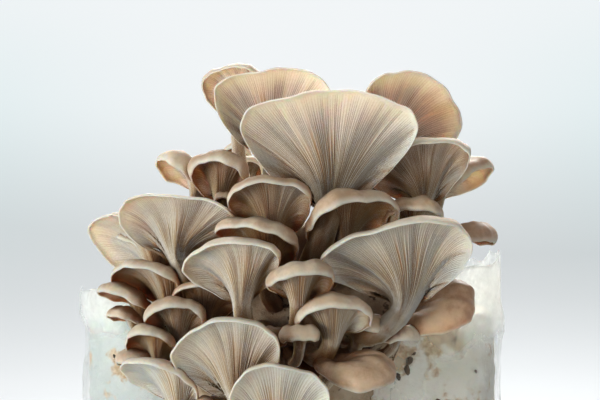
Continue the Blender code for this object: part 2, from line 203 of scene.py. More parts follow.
class Cap:
    """The directions and the rim of one cap, for any angles round it; 0 is forward."""

    def __init__(self, row):
        self.name, hub, heading, pitch, lean = row[:5]
        self.length, self.width, self.back, self.fan, self.curl, self.stem = row[5:11]
        self.hub = np.array(hub, float)
        self.forward, self.side, self.top = directions(heading, pitch, lean)
        rng = random.Random(self.name)
        self.phases = [rng.uniform(0, math.tau) for _ in range(4)]
        self.root, self.leaving = root_of(self.hub)
        self.reach = np.linalg.norm(self.hub - self.root)
        self.rise = unit(0.55 * unit(self.hub - self.root) + 0.45 * self.top)
        drop = min(0.12 * self.length, 0.3 * self.reach)
        self.neck = self.hub - self.top * self.stem * 1.1 - self.rise * drop

    def flat(self, a):
        """From the hub to the rim, in the plane of the cap."""
        middle, half = (self.length - self.back) / 2, (self.length + self.back) / 2
        grow = 1 + wavy(a, self.phases, (3, 0.03), (5, 0.02), (11, 0.006), (17, 0.004))
        narrow = (1 + self.fan * np.cos(a)) / (1 + 0.35 * self.fan**1.5)
        along = (middle + half * np.cos(a)) * grow
        across = 0.5 * self.width * np.sin(a) * narrow * grow
        return self.forward * along[:, None] + self.side * across[:, None]

    def rim(self, a):
        lift = 0.04 * self.width * np.sin(2 * a + self.phases[2]) * np.abs(np.sin(a / 2)) ** 0.5
        lift += 0.008 * self.width * np.sin(9 * a + self.phases[1])
        return self.hub + self.flat(a) + self.top * lift[:, None]

    def angles(self, pairs, draw):
        """An angle for each place across each pair of gills, evenly spread round the rim."""
        a = np.linspace(0, math.tau, RIM_STEPS + 1)
        steps = np.linalg.norm(np.diff(self.rim(a), axis=0), axis=1)
        share = 0.75 * steps / steps.sum() + 0.25 / len(steps)
        length = np.concatenate(((0,), np.cumsum(share)))
        places = (np.arange(pairs)[:, None] + GILL_PLACES).ravel()
        wander = draw.uniform(-0.2, 0.2, pairs)
        places += np.interp(places, np.arange(pairs + 1), np.append(wander, wander[0]))
        return np.interp(places / pairs % 1, length, a)

    def loop(self, centre, axis, radius, a):
        """A ring round the stem."""
        first = unit(np.cross(self.side, axis))
        second = np.cross(axis, first)
        lump = 1 + wavy(a, self.phases[2:], (3, 0.05), (7, 0.03))
        radius = (radius * lump)[:, None]
        return centre + radius * (np.cos(a)[:, None] * first + np.sin(a)[:, None] * second)

    def spine(self, t):
        """The middle of the stem, from its root to its neck, and the way it points."""
        pull = 0.4 * self.reach
        ends = (self.root, self.root + self.leaving * pull, self.neck - self.rise * pull, self.neck)
        ahead = bezier(*ends, min(t + 0.02, 1)) - bezier(*ends, max(t - 0.02, 0))
        return bezier(*ends, t), unit(ahead)


def make_mushroom(row):
    """One whole mushroom as a closed mesh: stem, gills, rolled margin and the top of the cap."""
    cap = Cap(row)
    tint, roll = row[11:]
    top, width = cap.top, cap.width
    draw = np.random.default_rng(len(cap.name) + int(cap.hub.sum()) % 997)
    pairs = max(FEWEST_PAIRS, round(width * PAIRS_PER_MM))
    a = cap.angles(pairs, draw)
    sides = len(a)
    long_gill = np.tile(LONG_GILL, pairs)
    short_gill = np.tile(SHORT_GILL, pairs)
    starts = np.repeat(draw.uniform(0.2, 0.7, pairs), len(GILL_PLACES))
    heights = np.repeat(draw.uniform(0.8, 1.0, pairs), len(GILL_PLACES))
    long_gill = long_gill * heights
    size = 0.6 + 0.4 * width / 80

    # The stem, with the gills running down it.
    levels = np.linspace(0, 1, STEM_RINGS)
    stem_depth = STEM_GILL_DEPTH * size * smoothstep(0.15, 1.0, levels)[:, None]
    stem_rings = []
    for t, depth in zip(levels, stem_depth):
        centre, axis = cap.spine(t)
        radius = cap.stem * (1.15 - 0.2 * t + 0.08 * t**4) - depth * (1 - long_gill)
        stem_rings.append(cap.loop(centre, axis, radius, a))
    stem_rings = np.array(stem_rings)
    collar = cap.loop(cap.neck, cap.spine(1.0)[1], np.full(sides, cap.stem * 1.03), a)

    # The rim, the way each gill arrives there, and where its margin starts to roll down.
    rim = cap.rim(a)
    down = math.radians(cap.curl)
    arrive = unit(cap.flat(a)) * math.cos(down) - top * math.sin(down)
    up = unit(top - arrive * (arrive @ top)[:, None])
    front = smoothstep(0.1, 0.6, (1 + np.cos(a)) / 2)
    turn = np.radians(roll * front * (1 + wavy(a, cap.phases, (3, 0.10), (5, 0.05), (9, 0.02))))
    radius = (0.3 + 0.7 * front) * width * (0.035 + 0.13 * (roll / 90) ** 1.5)
    shoulder = rim - arrive * (radius * np.sin(np.minimum(turn, math.pi / 2)))[:, None]

    # The surface through the gills' edges, from the stem to the shoulder, and the top of the cap over it.
    span = np.linalg.norm(shoulder - collar, axis=1, keepdims=True)
    reaches = 1 - (1 - np.linspace(0, 1, GILL_RINGS + 1)[1:]) ** 1.2
    leave = collar + cap.rise * 0.3 * span
    come = shoulder - arrive * 0.45 * span
    edge = np.array([bezier(collar, leave, come, shoulder, t) for t in reaches])
    over = shoulder + up * RIM_THICKNESS * 1.5
    crown = cap.hub + cap.forward * 0.12 * cap.length + top * FLESH_THICKNESS * 0.6
    outer = np.linalg.norm(over - crown, axis=1, keepdims=True)

    def roof(t):
        lean_in = over - arrive * 0.45 * outer + top * FLESH_THICKNESS * 0.5
        return bezier(over, lean_in, crown + (over - crown) * 0.3 + top * FLESH_THICKNESS, crown, t)

    # The margin rolls down from the shoulder: inside is its under side, outside its upper side.
    def margin(t, rise_by):
        angle = (turn * t)[:, None]
        bend = radius[:, None] + rise_by
        return shoulder - up * radius[:, None] + bend * (np.sin(angle) * arrive + np.cos(angle) * up)

    steps = np.linspace(0, 1, ROLL_RINGS + 1)
    thick = RIM_THICKNESS * (1.5 - 0.7 * steps)
    inside = np.array([margin(t, 0.0) for t in steps[1:]])
    outside = np.array([margin(t, h) for t, h in zip(steps, thick)])[::-1]
    ahead = np.cos(turn)[:, None] * arrive - np.sin(turn)[:, None] * up
    lip = (inside[-1] + outside[0]) / 2 + ahead * 0.4

    # The hollows between gills are cut into the flesh behind that surface, less and less toward the lip.
    surface = np.concatenate((edge, inside))
    v = np.concatenate((0.8 * reaches, 0.8 + 0.2 * steps[1:]))[:, None]
    beside = np.roll(surface, -3, axis=1) - np.roll(surface, 3, axis=1)
    inward = unit(np.cross(beside, np.gradient(surface, axis=0)))
    if (inward[len(edge) // 2] @ top).mean() < 0:
        inward = -inward
    flesh = np.array([(roof(1 - t) - ring) @ top for t, ring in zip(reaches, edge)])
    flesh = np.concatenate((flesh, thick[1:, None] * np.ones((1, sides))))
    ridge = np.maximum(long_gill, short_gill * smoothstep(starts - 0.15, starts + 0.15, v))
    depth = size * (STEM_GILL_DEPTH + (GILL_DEPTH - STEM_GILL_DEPTH) * smoothstep(0.0, 0.3, v))
    depth = depth * (1 - smoothstep(0.6, 0.97, v))
    depth = np.minimum(depth, STEM_GILL_DEPTH * size + 0.6 * np.clip(flesh, 0, None))
    depth[len(edge) :] = np.minimum(depth[len(edge) :], 0.5 * thick[1:, None])
    hollow = depth * (1 - ridge)
    under = surface + inward * hollow[..., None]

    over_steps = np.linspace(0, 1, TOP_RINGS + 1)[1:-1]
    tops = np.array([roof(t) for t in over_steps])
    ruffle = 0.3 * np.sin(6 * a + cap.phases[1]) * (1 - over_steps)[:, None]
    tops += top * ruffle[..., None]
    rings = np.concatenate((stem_rings, under, lip[None], outside, tops))

    # What the material needs to know at each point.
    count = len(rings)
    first_top = STEM_RINGS + len(under) + 1
    zone = np.full((count, sides), 0.5)
    zone[:STEM_RINGS] = (levels - 1)[:, None]
    zone[first_top - 1] = 0.75
    zone[first_top:] = 1.0
    reach = np.concatenate((0 * levels, v[:, 0], (1,), 1 - 0.2 * steps, 0.8 * (1 - over_steps)))
    # How deep each point lies in a hollow between gills; the material paints shade by it.
    dark = np.zeros((count, sides))
    dark[:STEM_RINGS] = stem_depth * (1 - long_gill)
    dark[STEM_RINGS : STEM_RINGS + len(under)] = hollow

    # A fan of brown streaks down the middle of the gills and up the stem toward the neck; the material
    # makes them stronger in the hollows between gills, as painted shade.
    aside = np.angle(np.exp(1j * (a - draw.uniform(-0.35, 0.35))))
    rusty = np.exp(-((aside / 0.38) ** 2)) * np.repeat(draw.uniform(0.1, 1.0, pairs), len(GILL_PLACES))
    streak = np.zeros((count, sides))
    streak[:STEM_RINGS] = rusty * (0.6 * levels**2)[:, None]
    streak[STEM_RINGS : STEM_RINGS + len(under)] = rusty * (1 - smoothstep(0.45, 0.85, v))

    def values(grid, first, last):
        return np.concatenate((grid.ravel(), (first, last)))

    everywhere = np.concatenate((rings.reshape(-1, 3), cap.root[None], crown[None]))
    outwards = np.linalg.norm((everywhere - BASE_CENTRE) / INNER_RADII, axis=1)
    attributes = {
        # 1 deep in the cluster and fading out away from it: where the material paints shade
        "inner": 1 - smoothstep(1.1, 2.3, outwards),
        "hollow": values(dark / (GILL_DEPTH * size), 0.0, 0.0),
        "reach": values(reach[:, None] * np.ones((1, sides)), 0.0, 0.0),
        "streak": values(streak, 0.0, 0.0),
        "zone": values(zone, -1.0, 1.0),
        "tint": np.full(count * sides + 2, tint),
    }
    obj = grid_mesh("grown_" + cap.name, rings, cap.root, crown, attributes)
    obj.data.materials.append(MUSHROOM)
    return obj


# --------------------------------------------------------------------------------------------------
# Materials
# --------------------------------------------------------------------------------------------------
class Nodes:
    """A short way to write a node tree."""

    def __init__(self, name):
        self.material = bpy.data.materials.new(name)
        self.material.use_nodes = True
        self.tree = self.material.node_tree
        self.shader = self.tree.nodes["Principled BSDF"]

    def add(self, kind, **inputs):
        node = self.tree.nodes.new(kind)
        for key, value in inputs.items():
            self.put(node, key, value)
        return node

    def put(self, node, key, value):
        socket = node.inputs[int(key[1:])] if key[0] == "_" else node.inputs[key.replace("_", " ")]
        if isinstance(value, bpy.types.NodeSocket):
            self.tree.links.new(value, socket)
        else:
            socket.default_value = value

    def attribute(self, name):
        node = self.add("ShaderNodeAttribute")
        node.attribute_name = name
        return node.outputs["Fac"]

    def math(self, operation, *values, clamp=False):
        node = self.add("ShaderNodeMath")
        node.operation = operation
        node.use_clamp = clamp
        for index, value in enumerate(values):
            self.put(node, f"_{index}", value)
        return node.outputs[0]

    def ramp(self, value, low, high, start=0.0, end=1.0):
        """value from low..high to start..end, held at the ends."""
        node = self.add("ShaderNodeMapRange", Value=value)
        node.interpolation_type = "SMOOTHSTEP"
        for key, number in zip(("From Min", "From Max", "To Min", "To Max"), (low, high, start, end)):
            node.inputs[key].default_value = number
        return node.outputs[0]

    def mix(self, factor, a, b, blend="MIX"):
        node = self.add("ShaderNodeMix")
        node.data_type = "RGBA"
        node.blend_type = blend
        self.put(node, "_0", factor)
        for index, colour in ((6, a), (7, b)):
            self.put(node, f"_{index}", (*colour, 1) if isinstance(colour, tuple) else colour)
        return node.outputs[2]

    def coordinates(self):
        return self.add("ShaderNodeTexCoord").outputs["Object"]

    def noise(self, scale, detail=4.0, rough=0.55, stretch=None):
        vector = self.coordinates()
        if stretch:
            node = self.add("ShaderNodeMapping", Vector=vector)
            node.inputs["Scale"].default_value = stretch
            vector = node.outputs[0]
        node = self.add("ShaderNodeTexNoise", Vector=vector, Scale=scale, Detail=detail, Roughness=rough)
        return node.outputs["Fac"]

    def closeness(self, distance):
        """Near 1 deep between other surfaces, and 0 out in the open; the materials paint shade by it."""
        node = self.add("ShaderNodeAmbientOcclusion", Distance=distance)
        node.samples = 8
        return self.math("SUBTRACT", 1.0, node.outputs["AO"])

    def bump(self, height, strength, distance):
        node = self.add("ShaderNodeBump", Height=height, Strength=strength, Distance=distance)
        self.tree.links.new(node.outputs[0], self.shader.inputs["Normal"])


def mushroom_material():
    n = Nodes("mushroom_flesh")
    hollow, reach, zone, tint = (n.attribute(k) for k in ("hollow", "reach", "zone", "tint"))
    inner, streak = n.attribute("inner"), n.attribute("streak")
    mottle, fine = n.noise(60, 5), n.noise(900, 3)
    crest = n.mix(n.ramp(reach, 0.0, 0.9), (0.86, 0.80, 0.65), (0.93, 0.90, 0.80))
    # Painted shade: the hollows between gills are coloured darker and browner than their edges, most near
    # the stem.
    shaded_gap = n.mix(n.ramp(reach, 0.2, 0.8), (0.50, 0.32, 0.15), (0.84, 0.78, 0.66))
    gills = n.mix(n.ramp(hollow, 0.05, 0.7), crest, shaded_gap)
    cloudy = n.math("ADD", n.math("MULTIPLY", mottle, 0.6), n.math("MULTIPLY", n.noise(190, 6, 0.7), 0.4))
    pale_top = n.mix(n.ramp(cloudy, 0.42, 0.60), (0.68, 0.57, 0.44), (0.84, 0.77, 0.66))
    dark_top = n.mix(n.ramp(cloudy, 0.42, 0.60), (0.40, 0.23, 0.12), (0.60, 0.41, 0.25))
    cap = n.mix(n.ramp(tint, 0.0, 1.0, 0.1, 0.9), pale_top, dark_top)
    cap = n.mix(n.ramp(reach, 0.90, 1.0, 0.0, 0.75), cap, (0.80, 0.75, 0.66))
    stalk = n.mix(n.ramp(mottle, 0.35, 0.65), (0.74, 0.67, 0.53), (0.81, 0.76, 0.63))
    # Painted shade in the grooves where the gills run down the stem.
    stalk = n.mix(n.ramp(hollow, 0.02, 0.3), stalk, (0.50, 0.36, 0.21))
    colour = n.mix(n.ramp(zone, -0.1, 0.4), stalk, gills)
    # The brown streaks at a quarter of their strength on the gills' edges and in full in the hollows: the
    # extra in the hollows is painted shade.
    streak_and_shade = n.math("MULTIPLY", streak, n.ramp(hollow, 0.0, 0.6, 0.25, 1.0))
    colour = n.mix(n.ramp(streak_and_shade, 0.15, 0.80, 0.0, 0.75), colour, (0.50, 0.26, 0.09))
    colour = n.mix(n.ramp(zone, 0.55, 0.7), colour, (0.88, 0.84, 0.75))
    colour = n.mix(n.ramp(zone, 0.8, 0.95), colour, cap)
    colour = n.mix(n.ramp(fine, 0.35, 0.75, 0.0, 0.12), colour, (0.36, 0.25, 0.15))
    # Painted shade: darker and browner toward the heart of the cluster, where the caps crowd and shade each
    # other.
    colour = n.mix(n.ramp(inner, 0.0, 0.6, 0.0, 0.95), colour, (0.50, 0.31, 0.15), "MULTIPLY")
    # Painted shade: dark brown multiplied in deep between other surfaces, a little less in the gills' own
    # hollows.
    recess_shade = n.math("MULTIPLY", n.closeness(0.035), n.ramp(hollow, 0.0, 1.0, 1.0, 0.80))
    colour = n.mix(n.ramp(recess_shade, 0.40, 0.76, 0.0, 1.0), colour, (0.26, 0.13, 0.05), "MULTIPLY")
    n.put(n.shader, "Base Color", colour)
    n.put(n.shader, "Roughness", n.ramp(mottle, 0.3, 0.7, 0.50, 0.66))
    n.put(n.shader, "Subsurface Weight", 0.6)
    n.put(n.shader, "Subsurface Radius", (1.0, 0.55, 0.28))
    n.put(n.shader, "Subsurface Scale", 0.0045)
    n.bump(n.math("ADD", mottle, n.math("MULTIPLY", fine, 0.6)), 0.2, 0.0005)
    return n.material


def substrate_material():
    n = Nodes("colonised_substrate")
    broad, chips, grain = n.noise(22, 5), n.noise(110, 4, 0.6), n.noise(520, 3)
    spot = n.add("ShaderNodeSeparateXYZ", Vector=n.coordinates())
    across = spot.outputs["X"]
    # Both kinds of mycelium are darker and bluer toward the block's left side.
    thin = n.mix(n.ramp(across, -0.07, 0.04), (0.50, 0.57, 0.56), (0.92, 0.92, 0.81))
    thick = n.mix(n.ramp(across, -0.07, 0.04), (0.69, 0.75, 0.73), (1.0, 0.98, 0.90))
    mycelium = n.mix(n.ramp(broad, 0.3, 0.7), thin, thick)
    sawdust = n.mix(n.ramp(grain, 0.35, 0.65), (0.48, 0.31, 0.15), (0.74, 0.58, 0.38))
    bare = n.math("ADD", chips, n.math("MULTIPLY", n.attribute("stain"), 0.32))
    colour = n.mix(n.ramp(bare, 0.56, 0.70, 0.0, 0.85), mycelium, sawdust)
    colour = n.mix(n.ramp(n.noise(75, 3, 0.6), 0.72, 0.76), colour, (0.14, 0.08, 0.04))
    # The whole block is darker and browner toward its back.
    rear = n.ramp(spot.outputs["Y"], -0.05, 0.04)
    colour = n.mix(rear, colour, (0.62, 0.58, 0.50), "MULTIPLY")
    n.put(n.shader, "Base Color", colour)
    n.put(n.shader, "Roughness", 0.92)
    n.put(n.shader, "Subsurface Weight", 0.2)
    n.put(n.shader, "Subsurface Scale", 0.003)
    n.bump(n.math("ADD", chips, grain), 0.5, 0.0015)
    return n.material


def base_material():
    n = Nodes("fused_stems")
    broad, grain, crumbs = n.noise(55, 5), n.noise(420, 3), n.noise(170, 4, 0.65)
    colour = n.mix(n.ramp(broad, 0.35, 0.65), (0.38, 0.26, 0.15), (0.60, 0.49, 0.35))
    colour = n.mix(n.ramp(grain, 0.55, 0.75, 0.0, 0.5), colour, (0.34, 0.22, 0.12))
    colour = n.mix(n.ramp(crumbs, 0.60, 0.66), colour, (0.12, 0.07, 0.035))
    # Painted shade: darker and browner in the crevices and wherever caps and stems crowd near.
    recess_shade = n.ramp(n.closeness(0.03), 0.25, 0.75)
    n.put(n.shader, "Base Color", n.mix(recess_shade, colour, (0.22, 0.11, 0.04), "MULTIPLY"))
    n.put(n.shader, "Roughness", n.ramp(crumbs, 0.3, 0.7, 0.6, 0.85))
    n.put(n.shader, "Subsurface Weight", 0.3)
    n.put(n.shader, "Subsurface Radius", (1.0, 0.55, 0.28))
    n.put(n.shader, "Subsurface Scale", 0.003)
    n.bump(n.math("ADD", broad, n.math("ADD", grain, crumbs)), 0.5, 0.0015)
    return n.material


def chip_material():
    n = Nodes("dark_chips")
    grain = n.noise(500, 4, 0.6, (1, 1, 0.25))
    colour = n.mix(n.ramp(grain, 0.3, 0.7), (0.025, 0.014, 0.008), (0.13, 0.075, 0.035))
    n.put(n.shader, "Base Color", colour)
    n.put(n.shader, "Roughness", 0.85)
    n.bump(grain, 0.5, 0.0005)
    return n.material


def film_material():
    n = Nodes("clear_film")
    crease, mist = n.attribute("crease"), n.attribute("mist")
    haze, fine = n.noise(40, 6, 0.65), n.noise(320, 4)
    facing = n.add("ShaderNodeLayerWeight", Blend=0.30).outputs["Facing"]
    cloud = n.math("MULTIPLY", n.ramp(haze, 0.30, 0.70, 0.40, 1.0), n.ramp(mist, 0.0, 1.0, 0.03, 0.78))
    alpha = n.math("ADD", cloud, n.ramp(crease, 0.5, 1.0, 0.0, 0.20))
    alpha = n.math("ADD", alpha, n.math("MULTIPLY", facing, 0.07), clamp=True)
    n.put(n.shader, "Base Color", n.mix(mist, (0.86, 0.91, 0.91), (0.93, 0.93, 0.88)))
    n.put(n.shader, "Roughness", n.ramp(cloud, 0.02, 0.45, 0.14, 0.75))
    n.put(n.shader, "Alpha", alpha)
    n.put(n.shader, "Transmission Weight", 0.88)
    n.put(n.shader, "IOR", 1.3)
    n.put(n.shader, "Specular IOR Level", 0.6)
    n.bump(n.math("ADD", haze, n.math("MULTIPLY", fine, 0.4)), 0.2, 0.0008)
    return n.material


def stage_material():
    """White studio paper that glows a little, most behind the object and least to its sides."""
    n = Nodes("studio_paper")
    drift = n.noise(0.6, 1)
    n.put(n.shader, "Base Color", n.mix(drift, (0.20, 0.21, 0.22), (0.22, 0.23, 0.24)))
    n.put(n.shader, "Roughness", 0.95)
    split = n.add("ShaderNodeSeparateXYZ", Vector=n.coordinates())
    aside = n.math("ABSOLUTE", split.outputs["X"])
    off = n.math("MULTIPLY", n.ramp(aside, 0.1, 1.0), n.ramp(split.outputs["Z"], 0.9, 0.2))
    off = n.math("MULTIPLY", off, n.ramp(split.outputs["Y"], 1.0, 2.6))
    n.put(n.shader, "Emission Color", n.mix(off, (0.955, 0.985, 1.0), (0.80, 0.975, 0.99)))
    behind = n.ramp(split.outputs["Y"], -BOWL_RADIUS, BOWL_RADIUS, GLOW_FRONT, GLOW_BACK)
    glow = n.math("SUBTRACT", behind, n.math("MULTIPLY", off, GLOW_DIP))
    low = n.ramp(split.outputs["Z"], 0.0, 0.5, 0.66, 1.0)
    n.put(n.shader, "Emission Strength", n.math("MULTIPLY", glow, low))
    return n.material


# --------------------------------------------------------------------------------------------------
# Block, film, base and chips
# --------------------------------------------------------------------------------------------------
BLOCK_SIDES = 220
BLOCK_RINGS = 84  # between its rounded edges
BLOCK_EDGE = 10.0  # radius of its top and bottom edges, mm
SQUARENESS = 4.0  # 2 is an ellipse in plan, larger is squarer
OUTLINE_STEPS = 2880  # for measuring the way round the block
# Where bare sawdust shows through: x and z in mm, and how wide.
STAINS = (
    (66, 192, 11), (48, 181, 8), (28, 158, 9), (-76, 178, 7),
    (80, 150, 10), (-60, 120, 14), (30, 90, 16), (70, 50, 14),
)


def box_mm(node):
    low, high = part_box(node)
    return np.array(low) / MM, np.array(high) / MM


def plan(half, sides):
    """The block's outline in plan, evenly spread, and the way out at each point."""
    a = np.linspace(0, math.tau, OUTLINE_STEPS + 1)
    power = 2 / SQUARENESS
    x = half[0] * np.sign(np.cos(a)) * np.abs(np.cos(a)) ** power
    y = half[1] * np.sign(np.sin(a)) * np.abs(np.sin(a)) ** power
    length = np.concatenate(((0,), np.cumsum(np.hypot(np.diff(x), np.diff(y)))))
    even = np.linspace(0, length[-1], sides + 1)[:-1]
    points = np.stack((np.interp(even, length, x), np.interp(even, length, y), 0 * even), 1)
    ahead = np.roll(points, -1, axis=0) - np.roll(points, 1, axis=0)
    return points, unit(np.stack((ahead[:, 1], -ahead[:, 0], 0 * even), 1))


def noise_at(points, scale, octaves, seed):
    """Fractal noise at each point, about -1 to 1, with waves about 1 / scale long."""
    shift = Vector((seed, 1.7 * seed, -seed))
    where = [Vector(p) + shift for p in points.reshape(-1, 3) * scale]
    values = [noise.fractal(p, 1.0, 2.0, octaves, noise_basis="PERLIN_ORIGINAL") for p in where]
    return np.array(values).reshape(points.shape[:-1])


def bump_at(x, middle, width):
    """1 at the middle, fading to nothing at both sides."""
    return np.exp(-(((x - middle) / width) ** 2))


def make_block():
    """The colonised block, lumpy on its sides and top."""
    low, high = box_mm("substrate_block")
    outline, out = plan((high - low)[:2] / 2, BLOCK_SIDES)
    rings = []
    for inset in (0.96, 0.85, 0.7, 0.5, 0.3):
        rings.append(outline * (1 - inset) + (0, 0, low[2]))
    for t in np.linspace(0, 1, 7):
        drawn = BLOCK_EDGE * (1 - math.sin(math.pi / 2 * t))
        rings.append(outline - out * drawn + (0, 0, low[2] + BLOCK_EDGE * (1 - math.cos(math.pi / 2 * t))))
    for z in np.linspace(low[2] + BLOCK_EDGE, high[2] - BLOCK_EDGE, BLOCK_RINGS)[1:]:
        rings.append(outline + (0, 0, z))
    for t in np.linspace(0, 1, 8)[1:]:
        drawn = BLOCK_EDGE * (1 - math.cos(math.pi / 2 * t))
        rings.append(outline - out * drawn + (0, 0, high[2] - BLOCK_EDGE * (1 - math.sin(math.pi / 2 * t))))
    edge = outline - out * BLOCK_EDGE
    for inset in np.linspace(0.04, 0.97, 30):
        rings.append(edge * (1 - inset) + (0, 0, high[2]))
    rings = np.array(rings)
    z = rings[..., 2]
    lumps = 0.5 + noise_at(rings, 0.035, 4, 3.0)
    grain = noise_at(rings, 0.22, 3, 8.0)
    side = smoothstep(0, 1, np.minimum(z - low[2], high[2] - 1 - z) / 4)
    rings = rings - out * ((1.6 * lumps + 0.6 * grain + 0.6) * side)[..., None]
    upper = smoothstep(high[2] - 2, high[2], z)
    rings[..., 2] -= upper * (2.5 * lumps + 0.9 * grain + 0.5)
    stain = sum(bump_at(rings[..., 0], x, wide) * bump_at(z, up, wide) for x, up, wide in STAINS)
    values = np.append(stain.ravel(), (0.0, 0.0))
    obj = grid_mesh("substrate", rings, rings[0].mean(axis=0), rings[-1].mean(axis=0), {"stain": values})
    obj.data.materials.append(SUBSTRATE)
    return obj


FILM_SIDES = 300
FILM_RINGS = 110  # above its rounded bottom edge
FILM_SHEET = 0.15  # mm, about twice a real film's
FILM_FLOOR = 0.1  # mm, the height of its flat bottom
FILM_ROOM = 0.45  # mm, between the block's outline and the film
# The collar's mean height over the block, and how much higher it stands at the right, in mm.
COLLAR_RISE, COLLAR_SLOPE = 14, 9
# At the left the film is drawn in, and flares out above that: height, half width and depth in mm.
PINCH_HEIGHT, PINCH_WIDTH, PINCH_DEPTH = 184.0, 9.0, 3.2
FLARE_HEIGHT, FLARE_WIDTH, FLARE_DEPTH = 203.0, 9.0, 2.6


def make_film():
    """The bag: one thin crumpled sheet, open above the block and torn away round the cluster."""
    block_high = box_mm("substrate_block")[1]
    half = block_high[:2] + FILM_ROOM
    outline, out = plan(half, FILM_SIDES)
    turn = np.arctan2(outline[:, 1] / half[1], outline[:, 0] / half[0])
    collar = block_high[2] + COLLAR_RISE + COLLAR_SLOPE * np.cos(turn) + 3 * np.sin(3 * turn + 2.4)
    collar += 1.2 * np.sin(11 * turn) + 0.8 * np.sin(23 * turn + 1.0)
    rings = [outline * s + (0, 0, FILM_FLOOR) for s in (0.05, 0.25, 0.45, 0.65, 0.8)]
    for t in np.linspace(0, 1, 7):
        drawn = BLOCK_EDGE * (1 - math.sin(math.pi / 2 * t))
        rise = BLOCK_EDGE * (1 - math.cos(math.pi / 2 * t))
        rings.append(outline - out * drawn + (0, 0, FILM_FLOOR + rise))
    for t in np.linspace(0, 1, FILM_RINGS)[1:]:
        z = BLOCK_EDGE + t * (collar - BLOCK_EDGE)
        rings.append(outline + np.stack((0 * z, 0 * z, z), 1))
    rings = np.array(rings)
    x, z = rings[..., 0], rings[..., 2]

    # Creases: sharp ridges where a folded noise turns over, stronger where the film is loose.
    stretched = rings * (1.0, 1.0, 0.55)
    ridges = 1 - 2.2 * np.abs(noise_at(stretched, 0.030, 3, 11.0))
    small = 1 - 2.2 * np.abs(noise_at(rings * (1.0, 1.0, 0.8), 0.085, 3, 23.0))
    broad = noise_at(rings, 0.012, 2, 31.0)
    loose = smoothstep(block_high[2] - 26, block_high[2] + 6, z)
    side = smoothstep(2, 16, z)
    out_by = side * (0.8 + (0.7 + 2.2 * loose) * np.clip(ridges, 0, 1) + 0.55 * np.clip(small, 0, 1))
    out_by += loose * 3.0 * broad
    flare = FLARE_DEPTH * bump_at(z, FLARE_HEIGHT, FLARE_WIDTH)
    pinch = PINCH_DEPTH * bump_at(z, PINCH_HEIGHT, PINCH_WIDTH)
    out_by += smoothstep(-60, -90, x) * (flare - pinch)
    out_by -= smoothstep(block_high[2] + 2, collar.max(), z) * 2.5
    free = smoothstep(block_high[2] - 6, block_high[2] + 4, z)
    out_by = np.maximum(out_by, -3.0 * free)
    out_by = np.minimum(out_by, 3.2 - 1.8 * smoothstep(60, 90, x) * free)
    rings = rings + out * out_by[..., None]
    crease = np.clip(0.65 * np.clip(ridges, 0, 1) ** 4 + 0.5 * np.clip(small, 0, 1) ** 6, 0, 1)
    mist = np.clip(0.12 + 0.7 * noise_at(rings, 0.02, 3, 40.0), 0, 1)
    milky = smoothstep(40, 75, x) * bump_at(z, 208, 20) + 0.45 * bump_at(x, -85, 20) * loose
    mist = np.clip(mist + milky, 0, 1)
    values = {
        "crease": np.append(crease.ravel(), (0.0, 0.0)),
        "mist": np.append(mist.ravel(), (0.3, 0.3)),
    }
    obj = grid_mesh("crumpled_film", rings, rings[0].mean(axis=0), rings[-1].mean(axis=0), values)
    tear_open(obj, len(rings) * FILM_SIDES + 1)
    sheet = obj.modifiers.new("sheet", "SOLIDIFY")
    sheet.thickness = FILM_SHEET * MM
    sheet.offset = 1.0
    obj.data.materials.append(FILM)
    return obj


def tear_open(obj, lid):
    """Takes away the film's lid, and what lies inside a ragged egg round the base."""
    work = bmesh.new()
    work.from_mesh(obj.data)
    work.verts.ensure_lookup_table()
    gone = [work.verts[lid]]
    for vert in work.verts:
        ray = (np.array(vert.co) / MM - BASE_CENTRE) / BASE_RADII
        far = np.linalg.norm(ray)
        way = Vector(ray / far)
        ragged = 1.0 + 0.10 * noise.noise(way * 3.0) + 0.05 * noise.noise(way * 11.0)
        if far < ragged and vert.co.y < 0:
            gone.append(vert)
    bmesh.ops.delete(work, geom=list(set(gone)), context="VERTS")
    loose = [v for v in work.verts if not v.link_faces]
    bmesh.ops.delete(work, geom=loose, context="VERTS")
    work.to_mesh(obj.data)
    work.free()


# Where many stems run together: the way from the base's middle, in mm, and how much it swells there.
KNOTS = (
    ((13, -20, 66), 0.50),
    ((44, -34, 24), 0.40),
    ((50, -14, 28), 0.45),
    ((-30, -24, 50), 0.15),
)
KNOT_SHARPNESS = 14
# Each stem's foot makes a small swelling, wider under a thicker stem.
FOOT_SWELL = 0.10
FOOT_SHARPNESS = 1500


def make_base():
    """The fused stems: a lumpy egg in the block's front edge, ribbed where stems run into it."""
    work = bmesh.new()
    bmesh.ops.create_icosphere(work, subdivisions=6, radius=1.0)
    rays = np.array([v.co for v in work.verts])
    feet = np.array([unit((np.array(row[1], float) - BASE_CENTRE) / BASE_RADII) for row in GROWTH])
    swell = np.zeros(len(rays))
    for foot, row in zip(feet, GROWTH):
        near = np.exp((rays @ foot - 1) * FOOT_SHARPNESS / row[10] ** 2)
        swell = np.maximum(swell, near * FOOT_SWELL)
    lumps = noise_at(rays, 3.0, 4, 5.0)
    grain = noise_at(rays, 14.0, 3, 9.0)
    for knot, size in KNOTS:
        toward = unit(np.array(knot) / BASE_RADII)
        swell += size * np.exp((rays @ toward - 1) * KNOT_SHARPNESS)
    radius = 0.90 + 0.07 * lumps + 0.018 * grain + 0.6 * swell
    points = BASE_CENTRE + rays * BASE_RADII * radius[:, None]
    for vert, point in zip(work.verts, points):
        vert.co = Vector(point * MM)
    mesh = bpy.data.meshes.new("fused_base")
    work.to_mesh(mesh)
    work.free()
    mesh.shade_smooth()
    mesh.materials.append(BASE)
    obj = bpy.data.objects.new("fused_base", mesh)
    bpy.context.scene.collection.objects.link(obj)
    return obj


